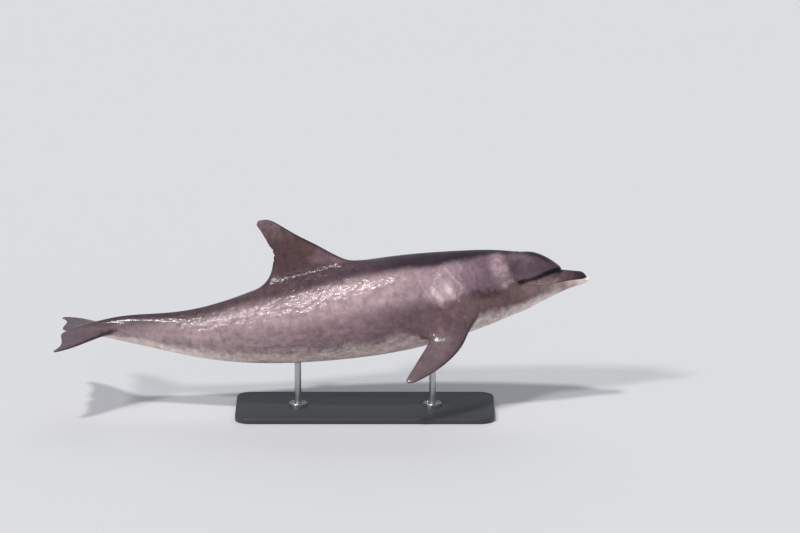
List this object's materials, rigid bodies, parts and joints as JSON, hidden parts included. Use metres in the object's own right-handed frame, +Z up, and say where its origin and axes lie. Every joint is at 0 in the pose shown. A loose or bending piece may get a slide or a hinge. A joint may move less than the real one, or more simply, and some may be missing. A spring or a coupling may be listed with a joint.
{
  "type": "bottlenose dolphin",
  "caption": "Life-size bottlenose dolphin with an arched back, a curved dorsal fin, flippers and flukes, held level over a flat base by short rods.",
  "frame": {"origin": "centre of the underside of the stand's base", "axes": "+X towards the head, +Y to the animal's left, +Z up"},
  "size_m": [2.4238, 0.7184, 0.8966],
  "materials": {
    "skin": "smooth wet skin, mauve grey flank over a pale belly",
    "cape": "smooth wet skin, dark purple brown",
    "eye": "dark glossy eye",
    "base": "satin black powder coat on aluminium plate",
    "rod": "brushed stainless steel"
  },
  "bodies": {
    "root": {"head": "cape", "upper_jaw": "cape", "lower_jaw": "skin", "eye_left": "eye", "eye_right": "eye", "neck": "skin", "chest": "skin", "midbody": "skin", "abdomen": "skin", "tail_stock_front": "skin", "tail_stock_rear": "skin", "fluke_root": "skin", "fluke_left": "cape", "fluke_right": "cape", "dorsal_fin": "cape", "flipper_left": "cape", "flipper_right": "cape", "stand_base": "base", "stand_rod_front": "rod", "stand_rod_rear": "rod", "stand_collar_front": "rod", "stand_collar_rear": "rod"}
  },
  "joints": []
}
